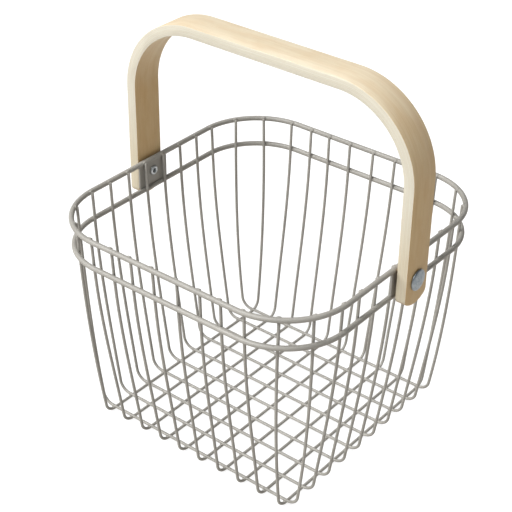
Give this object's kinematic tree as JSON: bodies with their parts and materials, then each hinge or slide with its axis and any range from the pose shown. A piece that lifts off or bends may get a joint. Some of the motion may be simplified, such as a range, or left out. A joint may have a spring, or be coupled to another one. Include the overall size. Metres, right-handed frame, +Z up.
{
  "type": "wire basket",
  "caption": "Open square basket of coated steel wire with two rim hoops, tapering walls and a swinging handle of bent laminated wood.",
  "frame": {"origin": "on the floor, below the middle of the basket", "axes": "+Z up, X from hinge to hinge, Y across the swing of the handle; the handle stands upright at rest"},
  "size_m": [0.2612, 0.2406, 0.3049],
  "materials": {
    "coated_steel": "warm grey powder coat, satin",
    "birch_veneer": "pale laminated birch, clear matt lacquer",
    "zinc_plate": "bright zinc-plated steel",
    "nylon": "black, matt"
  },
  "bodies": {
    "basket": {"top_rim": "coated_steel", "lower_rim": "coated_steel", "long_bar_01": "coated_steel", "long_bar_02": "coated_steel", "long_bar_03": "coated_steel", "long_bar_04": "coated_steel", "long_bar_05": "coated_steel", "long_bar_06": "coated_steel", "long_bar_07": "coated_steel", "long_bar_08": "coated_steel", "long_bar_09": "coated_steel", "long_bar_10": "coated_steel", "cross_bar_01": "coated_steel", "cross_bar_02": "coated_steel", "cross_bar_03": "coated_steel", "cross_bar_04": "coated_steel", "cross_bar_05": "coated_steel", "cross_bar_06": "coated_steel", "cross_bar_07": "coated_steel", "cross_bar_08": "coated_steel", "cross_bar_09": "coated_steel", "cross_bar_10": "coated_steel", "hinge_plate_left": "coated_steel", "hinge_plate_right": "coated_steel", "washer_left": "nylon", "washer_right": "nylon", "rivet_left": "zinc_plate", "rivet_right": "zinc_plate"},
    "handle": {"handle": "birch_veneer"}
  },
  "joints": [
    {"name": "handle_swing", "type": "hinge", "parent": "basket", "child": "handle", "pos_m": [0, 0, 0.1682], "axis": [1, 0, 0], "range_deg": [-114, 114]}
  ]
}
